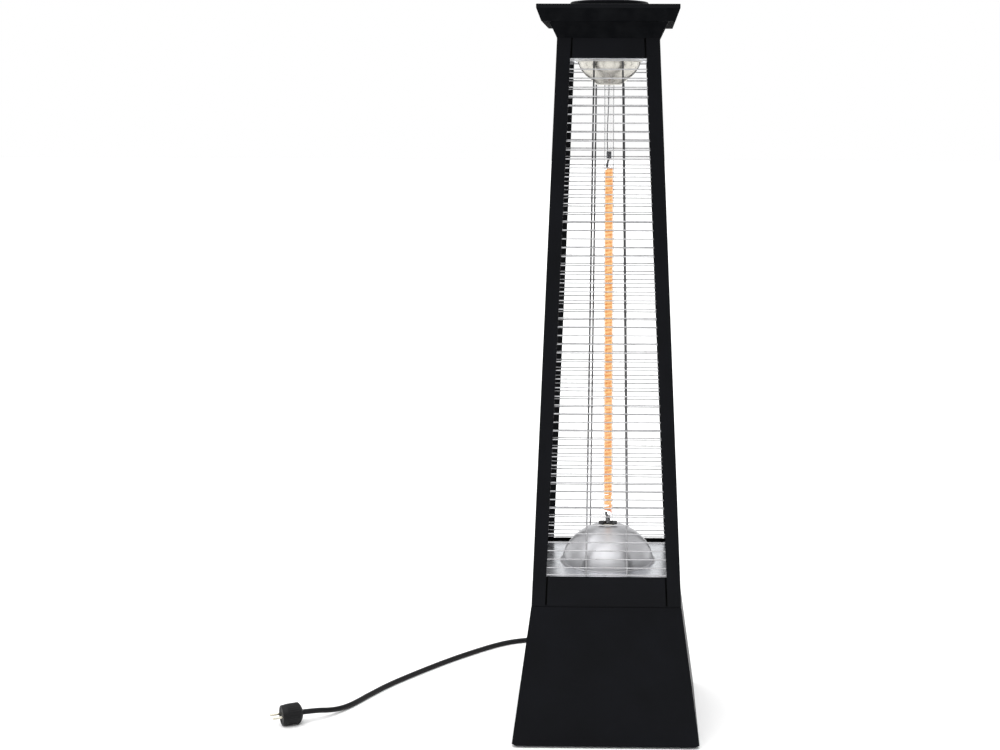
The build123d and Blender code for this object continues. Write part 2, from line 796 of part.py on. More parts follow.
cord_exit = rear_plane(gland_x, gland_z, gland_length + boot_length)
hank_start = (hank_centre[0] + hank_radius, hank_centre[1], hank_foot_z + cord_radius)
hank_end_z = hank_foot_z + cord_radius + 2 * cord_radius * hank_turns
hank_end = (hank_centre[0], hank_centre[1] + hank_radius, hank_end_z)
straight_out = cord_exit.origin + cord_exit.z_dir * 20
inner_route = (
    tuple(cord_exit.origin),
    tuple(straight_out),
    (70.5, 247.5, 41),
    (71, 268, 30.5),
    (73, 291, 16.5),
    (74.5, 310, 8.3),
    hank_start,
)
plug_entry = (-570.3, -59.4, plug_radius)
outer_route = (
    hank_end,
    (-27, 391.5, 25.5),
    (-69, 395, 14.5),
    (-108, 399, 7),
    (-148, 402, cord_floor),
    (-190, 396, cord_floor),
    (-233, 374, cord_floor),
    (-280, 329, cord_floor),
    (-335, 267, cord_floor),
    (-387, 198, cord_floor),
    (-436, 128, cord_floor),
    (-467, 70, cord_floor),
    (-490, 22, cord_floor),
    (-508, -7, 7),
    (-526, -29, 12),
    (-546.5, -46.6, 18.6),
    plug_entry,
)


def cord_tube(route, name):
    """A cord's round tube along its route."""
    with BuildPart() as tube:
        with BuildLine() as path:
            radii = turned_route(route)[1]
        with BuildSketch(path.line ^ 0) as section:
            Circle(cord_radius)
        sweep(sections=section.sketch, path=path.line)
    length = sum(edge.length for edge in path.edges())
    expected = length * pi * cord_radius**2
    print(name, "length", round(length, 1), "radii", [round(radius) for radius in radii])
    print(name, "volume over section times length", round(tube.part.volume / expected, 4))
    finish(tube, name)
    return length


cord_length = cord_tube(inner_route, "supply_cord_inner")
cord_length += cord_tube(outer_route, "supply_cord_outer")
hank_length = hypot(2 * pi * hank_radius, 2 * cord_radius) * hank_turns
print("cord length", round(cord_length + hank_length, 1), "of it in the turns", round(hank_length, 1))

hank_plane = Plane.XY.offset(hank_foot_z).move(Location((*hank_centre, 0)))
hank_wall = cord_radius + 1
with BuildPart() as supply_cord_coil:
    with BuildSketch(hank_plane):
        Circle(hank_radius + hank_wall)
        Circle(hank_radius - hank_wall, mode=Mode.SUBTRACT)
    extrude(amount=hank_end_z + cord_radius - hank_foot_z)
finish(supply_cord_coil, "supply_cord_coil")

tie_wall = 1.0
tie_width = 14.0
tie_angle = 225
hank_height = hank_end_z + cord_radius - hank_foot_z
tie_outwards = Vector(1, 0, 0).rotate(Axis.Z, tie_angle)
tie_along = Vector(0, 1, 0).rotate(Axis.Z, tie_angle)
with BuildPart() as cord_tie:
    with BuildSketch(Plane(origin=(*hank_centre, 0), x_dir=tie_outwards, z_dir=tie_along)):
        with Locations((hank_radius, -(hank_foot_z + hank_height / 2))):
            Rectangle(2 * hank_wall + 3, hank_height + 2 * tie_wall)
            Rectangle(2 * hank_wall + 1.0, hank_height, mode=Mode.SUBTRACT)
    extrude(amount=tie_width / 2, both=True)
finish(cord_tie, "cord_tie")

plug_turn = 27.0
plug_length = 40.0
plug_aim = Vector(-1, 0, 0).rotate(Axis.Z, plug_turn)
plug_across = Vector(0, 1, 0).rotate(Axis.Z, plug_turn)
plug_plane = Plane(origin=plug_entry, x_dir=plug_across, z_dir=plug_aim)
with BuildPart() as plug_body:
    with BuildSketch(Plane(origin=plug_entry, x_dir=plug_aim, z_dir=-plug_across)):
        with BuildLine():
            Polyline((0, 0), (0, 6.5), (1.2, 9.5))
            ThreePointArc((1.2, 9.5), (4.2, 15.5), (8.5, plug_radius))
            Polyline(
                (8.5, plug_radius),
                (30, plug_radius),
                (34, 19),
                (plug_length, 18.6),
                (plug_length, 0),
                (0, 0),
            )
        make_face()
    revolve(axis=Axis(plug_entry, plug_aim))
    # Two earth contact recesses in the rim
    with BuildSketch(plug_plane.offset(plug_length)):
        with Locations((0, 18.6), (0, -18.6)):
            Rectangle(8, 5)
    extrude(amount=-9, mode=Mode.SUBTRACT)
finish(plug_body, "plug_body")

pin_spacing = 19.0
with BuildPart() as plug_pins:
    with BuildSketch(plug_plane.offset(plug_length)):
        with GridLocations(pin_spacing, 0, 2, 1):
            Circle(2.4)
    extrude(amount=19)
    tips = plug_pins.edges().group_by(Axis(plug_entry, plug_aim))[-1]
    fillet(tips, 1.6)
finish(plug_pins, "plug_pins")
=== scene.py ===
import math

import bmesh
import bpy
from mathutils import Matrix, Vector


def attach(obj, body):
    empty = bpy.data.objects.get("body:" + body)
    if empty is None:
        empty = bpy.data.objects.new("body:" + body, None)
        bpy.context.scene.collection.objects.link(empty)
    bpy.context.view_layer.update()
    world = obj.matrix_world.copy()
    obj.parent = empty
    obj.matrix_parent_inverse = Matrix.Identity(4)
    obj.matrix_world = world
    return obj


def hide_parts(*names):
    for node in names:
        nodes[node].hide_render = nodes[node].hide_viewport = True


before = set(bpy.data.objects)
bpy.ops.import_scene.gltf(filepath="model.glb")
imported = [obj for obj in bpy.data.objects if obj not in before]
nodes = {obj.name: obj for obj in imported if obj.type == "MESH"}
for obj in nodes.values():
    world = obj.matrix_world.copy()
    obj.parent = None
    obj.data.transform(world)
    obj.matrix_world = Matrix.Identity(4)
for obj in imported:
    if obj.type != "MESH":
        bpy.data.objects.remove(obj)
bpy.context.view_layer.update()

mm = 0.001  # the script's lengths are millimetres times this
sharpAngle = 38  # degrees
heaterBody = "heater"


def hexColour(code):
    # an sRGB hex value as linear red, green, blue and alpha
    channels = [int(code[i:i + 2], 16) / 255 for i in (0, 2, 4)]
    return [c / 12.92 if c <= 0.04045 else ((c + 0.055) / 1.055) ** 2.4 for c in channels] + [1.0]


def addNode(tree, kind, settings=None, links=None, stops=()):
    # settings are the node's own options, links its inputs (a socket or a value), stops a ramp's colours
    node = tree.nodes.new(kind)
    for key, value in (settings or {}).items():
        setattr(node, key, value)
    for key, value in (links or {}).items():
        if isinstance(value, bpy.types.NodeSocket):
            tree.links.new(value, node.inputs[key])
        else:
            node.inputs[key].default_value = value
    for index, (position, colour) in enumerate(stops):
        node.color_ramp.elements[index].position = position
        node.color_ramp.elements[index].color = colour
    return node


def newMaterial(name, values):
    material = bpy.data.materials.new(name)
    material.use_nodes = True
    tree = material.node_tree
    shader = tree.nodes["Principled BSDF"]
    for key, value in values.items():
        shader.inputs[key].default_value = value
    return material, tree, shader


def perMetre(sizeMm):
    # a texture's scale for features of a size in millimetres, on coordinates in metres
    return 1 / (sizeMm * mm)


def newPiece(name, mesh, material, standsFor):
    piece = bpy.data.objects.new(name, mesh)
    bpy.context.scene.collection.objects.link(piece)
    piece.data.materials.append(material)
    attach(piece, heaterBody)
    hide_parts(standsFor)
    return piece


def meshFrom(bm, name):
    # smooth shading, broken at the edges that are sharper than sharpAngle
    bmesh.ops.recalc_face_normals(bm, faces=bm.faces)
    for face in bm.faces:
        face.smooth = True
    for edge in bm.edges:
        edge.smooth = edge.calc_face_angle(0) < math.radians(sharpAngle)
    mesh = bpy.data.meshes.new(name)
    bm.to_mesh(mesh)
    bm.free()
    return mesh


def paint(nodeName, material):
    # a CAD node keeps its mesh and takes a finished material
    for item in nodes[nodeName].material_slots:
        item.material = material


camera = {
    "place": (48.7, -2795.2, 1120.1),  # mm
    "turn": 0.999,  # degrees towards the heater from the -Y axis
    "tilt": 8.191,  # degrees down
    "roll": 0.183,  # degrees
    "lens": 55.21, "sensor": 36,  # mm
    "shift": (-0.1084, -0.0342),  # shares of the width
    "farthest": 100,  # m
}


def placeCamera():
    turn, tilt, roll = (math.radians(camera[key]) for key in ("turn", "tilt", "roll"))
    ahead = Vector((-math.sin(turn), math.cos(turn), 0))
    aim = ahead * math.cos(tilt) - Vector((0, 0, math.sin(tilt)))
    right = Vector((math.cos(turn), math.sin(turn), 0))
    up = right.cross(aim)
    rightRolled = right * math.cos(roll) + up * math.sin(roll)
    upRolled = up * math.cos(roll) - right * math.sin(roll)
    data = bpy.data.cameras.new("camera")
    data.sensor_width = camera["sensor"]
    data.lens = camera["lens"]
    data.shift_x, data.shift_y = camera["shift"]
    data.clip_end = camera["farthest"]
    item = bpy.data.objects.new("camera", data)
    turned = Matrix((rightRolled, upRolled, -aim)).transposed().to_4x4()
    item.matrix_world = Matrix.Translation(Vector(camera["place"]) * mm) @ turned
    bpy.context.scene.collection.objects.link(item)
    bpy.context.scene.camera = item


placeCamera()
print("camera placed")


powderCoat = {
    "colour": "0a0b0e", "worn": "0d0e12",
    "gloss": 0.07,
    "roughness": (0.38, 0.46),
    "grainMm": 1.6,  # orange peel, drawn coarser than the real 0.6 mm so that it shows
    "depthMm": 0.05,
    "patchMm": 70,
}


def makePowderCoat():
    # steel sheet, polyester powder coat: a satin black skin with a fine orange peel
    material, tree, shader = newMaterial("satinBlackPowderCoat", {
        "IOR": 1.5, "Specular IOR Level": powderCoat["gloss"]})
    place = addNode(tree, "ShaderNodeTexCoord").outputs["Object"]
    patches = addNode(tree, "ShaderNodeTexNoise", links={
        "Vector": place, "Scale": perMetre(powderCoat["patchMm"]), "Detail": 3.0})
    peel = addNode(tree, "ShaderNodeTexNoise", links={
        "Vector": place, "Scale": perMetre(powderCoat["grainMm"]), "Detail": 2.0})
    tone = addNode(tree, "ShaderNodeValToRGB", links={"Fac": patches.outputs["Fac"]},
                   stops=[(0.35, hexColour(powderCoat["colour"])), (0.75, hexColour(powderCoat["worn"]))])
    tree.links.new(tone.outputs["Color"], shader.inputs["Base Color"])
    smooth, rough = powderCoat["roughness"]
    satin = addNode(tree, "ShaderNodeMapRange", links={
        "Value": patches.outputs["Fac"], "To Min": smooth, "To Max": rough})
    tree.links.new(satin.outputs["Result"], shader.inputs["Roughness"])
    bump = addNode(tree, "ShaderNodeBump", links={
        "Height": peel.outputs["Fac"], "Distance": powderCoat["depthMm"] * mm, "Strength": 0.25})
    tree.links.new(bump.outputs["Normal"], shader.inputs["Normal"])
    return material


aluminium = {
    # the upper dome's warmer colour is a painted reflection of what it mirrors
    "spunColour": "c8c8cb", "warmReflectionTint": "cbc8c0", "plateColour": "e2e4e8",
    "ringMm": 2.4,  # turning marks, drawn coarser than the real 0.3 mm so that they show
    "ringDepthMm": 0.1,
    "smearMm": 35,
    "rollMm": 1.5,  # rolling lines, drawn coarser than the real 0.2 mm so that they show
    "rollDepthMm": 0.02,
    "rollStretch": 25,  # a rolling line is this many times longer than it is wide
    "plateRoughness": (0.2, 0.34),
}


def makeSpunAluminium(name, colourCode, roughness, brushed):
    # aluminium sheet spun over a former: fine rings round the axis smear what it mirrors up and down
    material, tree, shader = newMaterial(name, {
        "Base Color": hexColour(colourCode), "Metallic": 1.0,
        "Anisotropic": brushed, "Anisotropic Rotation": 0.25})  # a quarter turn: rough across the rings
    tangent = addNode(tree, "ShaderNodeTangent", {"direction_type": "RADIAL", "axis": "Z"})
    tree.links.new(tangent.outputs["Tangent"], shader.inputs["Tangent"])
    place = addNode(tree, "ShaderNodeTexCoord").outputs["Object"]
    flat = addNode(tree, "ShaderNodeVectorMath", {"operation": "MULTIPLY"}, {0: place, 1: (1, 1, 0)})
    radius = addNode(tree, "ShaderNodeVectorMath", {"operation": "LENGTH"}, {0: flat.outputs["Vector"]})
    rings = addNode(tree, "ShaderNodeTexNoise", {"noise_dimensions": "1D"}, {
        "W": radius.outputs["Value"], "Scale": perMetre(aluminium["ringMm"]), "Detail": 2.0})
    smears = addNode(tree, "ShaderNodeTexNoise", links={
        "Vector": place, "Scale": perMetre(aluminium["smearMm"]), "Detail": 2.0})
    sheen = addNode(tree, "ShaderNodeMapRange", links={
        "Value": smears.outputs["Fac"], "To Min": roughness * 0.8, "To Max": roughness * 1.3})
    tree.links.new(sheen.outputs["Result"], shader.inputs["Roughness"])
    bump = addNode(tree, "ShaderNodeBump", links={
        "Height": rings.outputs["Fac"], "Distance": aluminium["ringDepthMm"] * mm, "Strength": 0.5})
    tree.links.new(bump.outputs["Normal"], shader.inputs["Normal"])
    return material


def makePolishedSheet():
    # mill-finished aluminium sheet, polished: a blurred mirror with faint rolling lines along X
    material, tree, shader = newMaterial("polishedAluminiumSheet", {
        "Base Color": hexColour(aluminium["plateColour"]), "Metallic": 1.0})
    place = addNode(tree, "ShaderNodeTexCoord").outputs["Object"]
    stretched = addNode(tree, "ShaderNodeMapping", links={
        "Vector": place, "Scale": (1 / aluminium["rollStretch"], 1.0, 1.0)})
    lines = addNode(tree, "ShaderNodeTexNoise", links={
        "Vector": stretched.outputs["Vector"], "Scale": perMetre(aluminium["rollMm"]), "Detail": 2.0})
    smooth, rough = aluminium["plateRoughness"]
    polish = addNode(tree, "ShaderNodeMapRange", links={
        "Value": lines.outputs["Fac"], "To Min": smooth, "To Max": rough})
    tree.links.new(polish.outputs["Result"], shader.inputs["Roughness"])
    bump = addNode(tree, "ShaderNodeBump", links={
        "Height": lines.outputs["Fac"], "Distance": aluminium["rollDepthMm"] * mm, "Strength": 0.2})
    tree.links.new(bump.outputs["Normal"], shader.inputs["Normal"])
    return material


plating = {
    "patchMm": 12,
    "darker": 0.8,  # share of the colour where it is thin
}


def makeDrawnMetal(name, colourCode, roughness, paintedShade=None):
    # drawn or plated metal: bright, with slightly uneven plating
    material, tree, shader = newMaterial(name, {"Metallic": 1.0})
    place = addNode(tree, "ShaderNodeTexCoord").outputs["Object"]
    blotches = addNode(tree, "ShaderNodeTexNoise", links={
        "Vector": place, "Scale": perMetre(plating["patchMm"]), "Detail": 3.0})
    dark = [c * plating["darker"] for c in hexColour(colourCode)[:3]] + [1.0]
    tone = addNode(tree, "ShaderNodeValToRGB", links={"Fac": blotches.outputs["Fac"]},
                   stops=[(0.35, dark), (0.65, hexColour(colourCode))])
    colour = tone.outputs["Color"]
    if paintedShade:
        # painted shade: the colour is darkened upwards, its share of brightness falling with height
        low, high, share = paintedShade
        height = addNode(tree, "ShaderNodeSeparateXYZ", links={"Vector": place}).outputs["Z"]
        shadeShare = addNode(tree, "ShaderNodeMapRange", {"interpolation_type": "SMOOTHSTEP"}, {
            "Value": height, "From Min": low * mm, "From Max": high * mm, "To Min": 1.0, "To Max": share})
        colour = addNode(tree, "ShaderNodeVectorMath", {"operation": "SCALE"}, {
            0: colour, "Scale": shadeShare.outputs["Result"]}).outputs["Vector"]
    tree.links.new(colour, shader.inputs["Base Color"])
    sheen = addNode(tree, "ShaderNodeMapRange", links={
        "Value": blotches.outputs["Fac"], "To Min": roughness * 0.8, "To Max": roughness * 1.25})
    tree.links.new(sheen.outputs["Result"], shader.inputs["Roughness"])
    return material


moulded = {
    "patchGrains": 14,  # a patch of paler colour is this many grains wide
    "paler": 1.25,
}


def makeMoulded(name, colourCode, roughness, grainMm, depthMm, specular=0.4):
    # moulded rubber, nylon or ceramic: an even colour with a fine grain from the mould
    material, tree, shader = newMaterial(name, {"IOR": 1.5, "Specular IOR Level": specular})
    place = addNode(tree, "ShaderNodeTexCoord").outputs["Object"]
    grain = addNode(tree, "ShaderNodeTexNoise", links={
        "Vector": place, "Scale": perMetre(grainMm), "Detail": 3.0})
    patches = addNode(tree, "ShaderNodeTexNoise", links={
        "Vector": place, "Scale": perMetre(grainMm * moulded["patchGrains"]), "Detail": 2.0})
    light = [min(1.0, c * moulded["paler"] + 0.002) for c in hexColour(colourCode)[:3]] + [1.0]
    tone = addNode(tree, "ShaderNodeValToRGB", links={"Fac": patches.outputs["Fac"]},
                   stops=[(0.35, hexColour(colourCode)), (0.7, light)])
    tree.links.new(tone.outputs["Color"], shader.inputs["Base Color"])
    sheen = addNode(tree, "ShaderNodeMapRange", links={
        "Value": patches.outputs["Fac"], "To Min": roughness * 0.88, "To Max": min(1.0, roughness * 1.12)})
    tree.links.new(sheen.outputs["Result"], shader.inputs["Roughness"])
    bump = addNode(tree, "ShaderNodeBump", links={
        "Height": grain.outputs["Fac"], "Distance": depthMm * mm, "Strength": 0.5})
    tree.links.new(bump.outputs["Normal"], shader.inputs["Normal"])
    return material


drawnQuartz = {"colour": "ffffff", "ior": 1.45, "lineMm": 3, "depthMm": 0.01, "stretch": 100}


def makeQuartz():
    # fused quartz tube, drawn: clear, with very faint draw lines along it
    material, tree, shader = newMaterial("clearQuartz", {
        "Base Color": hexColour(drawnQuartz["colour"]), "Transmission Weight": 1.0,
        "IOR": drawnQuartz["ior"], "Roughness": 0.0})
    place = addNode(tree, "ShaderNodeTexCoord").outputs["Object"]
    drawn = addNode(tree, "ShaderNodeMapping", links={
        "Vector": place, "Scale": (1.0, 1.0, 1 / drawnQuartz["stretch"])})
    lines = addNode(tree, "ShaderNodeTexNoise", links={
        "Vector": drawn.outputs["Vector"], "Scale": perMetre(drawnQuartz["lineMm"]), "Detail": 1.0})
    bump = addNode(tree, "ShaderNodeBump", links={
        "Height": lines.outputs["Fac"], "Distance": drawnQuartz["depthMm"] * mm, "Strength": 0.1})
    tree.links.new(bump.outputs["Normal"], shader.inputs["Normal"])
    return material


glow = {
    # core and rim are the painted highlight along the ribbon's middle and the painted shade at its edges
    "core": "ffcc84", "rim": "e68a3a", "cold": "c8543a",
    "strip": "3a2a20",  # the ribbon's own colour, unlit
    "strength": 1.0,
    "patchMm": 9, "unevenness": 1.2,
}


def makeGlow():
    # carbon fibre ribbon at about 1100 degrees: its own orange glow, red where it is clamped; its middle is
    # drawn paler and its edges darker orange, a painted highlight and painted shade across the ribbon
    material, tree, shader = newMaterial("glowingCarbon", {
        "Base Color": hexColour(glow["strip"]), "Roughness": 0.7, "Emission Strength": glow["strength"]})
    band = addNode(tree, "ShaderNodeAttribute", {"attribute_name": "band"}).outputs["Fac"]
    warmth = addNode(tree, "ShaderNodeAttribute", {"attribute_name": "warmth"}).outputs["Fac"]
    place = addNode(tree, "ShaderNodeTexCoord").outputs["Object"]
    patches = addNode(tree, "ShaderNodeTexNoise", links={
        "Vector": place, "Scale": perMetre(glow["patchMm"]), "Detail": 2.0})
    uneven = addNode(tree, "ShaderNodeMath", {"operation": "MULTIPLY_ADD"}, {
        0: patches.outputs["Fac"], 1: glow["unevenness"], 2: -glow["unevenness"] / 2})
    drift = addNode(tree, "ShaderNodeMath", {"operation": "ADD"}, {0: band, 1: uneven.outputs["Value"]})
    # painted highlight and shade: pale across the ribbon's middle, darker orange at its edges
    across = addNode(tree, "ShaderNodeValToRGB", links={"Fac": drift.outputs["Value"]},
                     stops=[(0.15, hexColour(glow["core"])), (0.95, hexColour(glow["rim"]))])
    # sockets 6 and 7 of a colour Mix are its two colours, and output 2 is the mixed one
    tone = addNode(tree, "ShaderNodeMix", {"data_type": "RGBA"}, {
        0: warmth, 6: hexColour(glow["cold"]), 7: across.outputs["Color"]})
    tree.links.new(tone.outputs[2], shader.inputs["Emission Color"])
    return material


blackPaint = makePowderCoat()
# name, colour, roughness, grain and its depth in mm, specular level
grooveShadeBlack = makeMoulded("paintedGrooveShadeBlack", "030303", 0.8, 1.0, 0.02, 0.02)  # painted shade: a black line beside each post, standing for the shadow in the groove
shadedUndersideBlack = makeMoulded("paintedUndersideShade", "0a0b0d", 0.9, 1.6, 0.05, 0.02)  # painted shade under the cap: a copy of the coat with almost no reflection
rubber = makeMoulded("mouldedRubber", "17171a", 0.7, 0.8, 0.05)  # dull charcoal
cordRubber = makeMoulded("extrudedRubberSheath", "08080a", 0.45, 1.2, 0.05, 0.2)  # black, a faint sheen
plugRubber = makeMoulded("mouldedPlugRubber", "08080a", 0.55, 0.9, 0.06, 0.2)
nylon = makeMoulded("mouldedBlackNylon", "1c1c1f", 0.45, 0.7, 0.04)
rockerPlastic = makeMoulded("glossyMouldedAbs", "141416", 0.18, 1.5, 0.01, 0.5)  # shiny black
redPlastic = makeMoulded("mouldedRedNylon", "b02a1e", 0.4, 0.7, 0.03)
whiteNylon = makeMoulded("mouldedWhiteNylon", "d8d5ca", 0.45, 0.8, 0.03)
ceramic = makeMoulded("pressedSteatite", "c4c1b6", 0.6, 0.5, 0.04)  # off-white, dry and fine
sleeve = makeMoulded("extrudedSiliconeSleeve", "1d1d1f", 0.55, 0.6, 0.04)
tapeWeave = makeMoulded("wovenHookTape", "1a1a1c", 0.9, 0.9, 0.25, 0.1)  # fuzzy, no shine
# name, colour, roughness
brightWire = makeDrawnMetal("nickelPlatedWire", "b4b4b6", 0.28)
# the uprights are a darker copy of the wire, with painted shade that deepens upwards
shadedUprightWire = makeDrawnMetal("uprightWirePaintedShade", "a2a2a4", 0.3, paintedShade=(360, 620, 0.3))
zincPlate = makeDrawnMetal("zincPlatedSteel", "aeb0b4", 0.35)
shadedNickelLead = makeDrawnMetal("crimpedNickelPaintedShade", "4c4c50", 0.35)  # painted shade: drawn dark grey for the dark surroundings it mirrors
plugBrass = makeDrawnMetal("nickelPlatedBrass", "cfcabb", 0.2)  # faintly yellow
springSteel = makeDrawnMetal("drawnSpringSteel", "9a9a9c", 0.3)
blackScrew = makeDrawnMetal("blackenedSteel", "2b2b2e", 0.4)
# name, colour, roughness, how far the rings smear a reflection
spunMetal = makeSpunAluminium("spunAluminium", aluminium["spunColour"], 0.36, 0.7)
# the upper dome is a warmer copy of the spun metal: its tint is a painted reflection
reflectorWithPaintedWarmth = makeSpunAluminium("spunAluminiumPaintedWarmth", aluminium["warmReflectionTint"], 0.24, 0.3)
polishedSheet = makePolishedSheet()
quartz = makeQuartz()
glowing = makeGlow()
print("materials made")

cadFinishes = {
    blackPaint: ["base_deck", "tube_clip"],
    zincPlate: ["bottom_plate", "lower_tube_holder", "upper_tube_holder"],
    rubber: ["rubber_feet", "strain_relief"],
    plugBrass: ["plug_pins"],
    nylon: ["cable_gland", "gland_nut", "power_switch_housing", "tip_switch_body"],
    rockerPlastic: ["power_rocker"],
    redPlastic: ["tip_switch_plunger"],
    whiteNylon: ["terminal_block"],
    springSteel: ["plunger_spring"],
    blackScrew: ["base_screws", "cap_screws", "cage_screws"],
    polishedSheet: ["floor_reflector_plate", "ceiling_plate"],
    quartz: ["quartz_tube"],
    ceramic: ["lower_ceramic_cap", "upper_ceramic_cap", "seal_washer"],
    sleeve: ["internal_wiring", "post_wire"],
}
for finish, names in cadFinishes.items():
    for nodeName in names:
        paint(nodeName, finish)


cordShape = {
    "radius": 5.0,  # mm
    "length": 1780,
    "hankCentre": (16, 331),  # mm
    "hankRadius": 59,
    "hankTurns": 2.25,
    "hankFoot": 1.0,  # mm under the lowest turn where it starts
    "pointsPerTurn": 16,
    "roundness": 5, "smoothness": 8,  # steps round the cord and along each span
}
# from the gland down to the hank, and from the hank round the tower to the plug, in mm
innerRoute = [(70, 207.68, 41.88), (70, 227.5, 44.6), (70.5, 247.5, 41), (71, 268, 30.5), (73, 291, 16.5),
              (74.5, 310, 8.3)]
outerRoute = [(-27, 391.5, 25.5), (-69, 395, 14.5), (-108, 399, 7), (-148, 402, 5), (-190, 396, 5),
              (-233, 374, 5), (-280, 329, 5), (-335, 267, 5), (-387, 198, 5), (-436, 128, 5), (-467, 70, 5),
              (-490, 22, 5), (-508, -7, 7), (-526, -29, 12), (-546.5, -46.6, 18.6), (-570.3, -59.4, 20)]


def hankPoints():
    # the stored turns lie on each other, a cord's thickness apart
    perTurn = cordShape["pointsPerTurn"]
    cx, cy = cordShape["hankCentre"]
    radius = cordShape["hankRadius"] / math.cos(math.pi / perTurn) ** 0.5  # the line cuts inside its points
    points = []
    for step in range(round(cordShape["hankTurns"] * perTurn) + 1):
        turn = step / perTurn
        angle = 2 * math.pi * turn
        height = cordShape["hankFoot"] + cordShape["radius"] * (1 + 2 * turn)
        points.append((cx + radius * math.cos(angle), cy + radius * math.sin(angle), height))
    return points


def makeCord():
    curve = bpy.data.curves.new("supplyCord", "CURVE")
    curve.dimensions = "3D"
    curve.bevel_depth = cordShape["radius"] * mm
    curve.bevel_resolution = cordShape["roundness"]
    curve.resolution_u = cordShape["smoothness"]
    route = innerRoute + hankPoints() + outerRoute
    spline = curve.splines.new("NURBS")
    spline.points.add(len(route) - 1)
    for point, place in zip(spline.points, route):
        point.co = (*(value * mm for value in place), 1)
    spline.order_u = 3
    spline.use_endpoint_u = True
    piece = bpy.data.objects.new("supplyCord", curve)
    bpy.context.scene.collection.objects.link(piece)
    curve.materials.append(cordRubber)
    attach(piece, heaterBody)
    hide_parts("supply_cord_inner", "supply_cord_coil", "supply_cord_outer")
    return piece


supplyCord = makeCord()
print("cord laid")


def spun(profile, steps):
    # an open profile of (radius, height) in mm, turned a full circle round Z
    bm = bmesh.new()
    verts = [bm.verts.new((radius * mm, 0, height * mm)) for radius, height in profile]
    edges = [bm.edges.new(pair) for pair in zip(verts, verts[1:])]
    bmesh.ops.spin(bm, geom=verts + edges, cent=(0, 0, 0), axis=(0, 0, 1), dvec=(0, 0, 0),
                   angle=2 * math.pi, steps=steps, use_merge=True)
    bmesh.ops.remove_doubles(bm, verts=bm.verts, dist=1e-6)
    return bm


plugShape = {
    "entry": (-570.3, -59.4, 20.0),  # mm, where the cord goes in
    "turn": 27.0,  # degrees
    "profile": [(0, 0), (6.5, 0), (9.5, 1.2), (12.6, 2.4), (15.5, 4.2), (18.2, 6.2), (19.6, 7.6), (20, 8.5),
                (20, 29.5), (19.8, 30.4), (19.2, 33.2), (19, 34), (18.7, 39), (18.2, 39.8), (17.5, 40),
                (14.5, 40), (14, 39), (0, 39)],
    "ribs": 30,
    "grip": (8, 30),  # mm along the body
    "gripRadius": 19,  # mm: what is further out is ribbed
    "sunk": 0.965,  # share of the radius between two ribs
    "edgeRound": 0.4,
}


def makePlug():
    strips = 2 * plugShape["ribs"]
    bm = spun(plugShape["profile"], steps=strips)
    # finger ribs: every other strip of the grip is sunk a little
    low, high = plugShape["grip"]
    for vert in bm.verts:
        radius = math.hypot(vert.co.x, vert.co.y) / mm
        strip = round(math.atan2(vert.co.y, vert.co.x) / (2 * math.pi) * strips)
        if low < vert.co.z / mm < high and radius > plugShape["gripRadius"] and strip % 2:
            vert.co.x *= plugShape["sunk"]
            vert.co.y *= plugShape["sunk"]
    turn = Matrix.Rotation(math.radians(plugShape["turn"]), 4, "Z") @ Matrix.Rotation(-math.pi / 2, 4, "Y")
    place = Matrix.Translation(Vector(plugShape["entry"]) * mm)
    bmesh.ops.transform(bm, matrix=place @ turn, verts=bm.verts)
    piece = newPiece("plugBody", meshFrom(bm, "plugBody"), plugRubber, "plug_body")
    bevel = piece.modifiers.new("edges", "BEVEL")
    bevel.width = plugShape["edgeRound"] * mm
    bevel.segments = 2
    bevel.limit_method = "ANGLE"
    return piece


plug = makePlug()


tieShape = {
    "angle": 225,  # degrees round the coil
    "width": 14.0, "wall": 1.0, "slack": 0.6,  # mm
    "segments": 24,
    "lapFacing": 0.1,  # faces that look outwards by more than this are lapped over
    "edgeRound": 0.3,
}


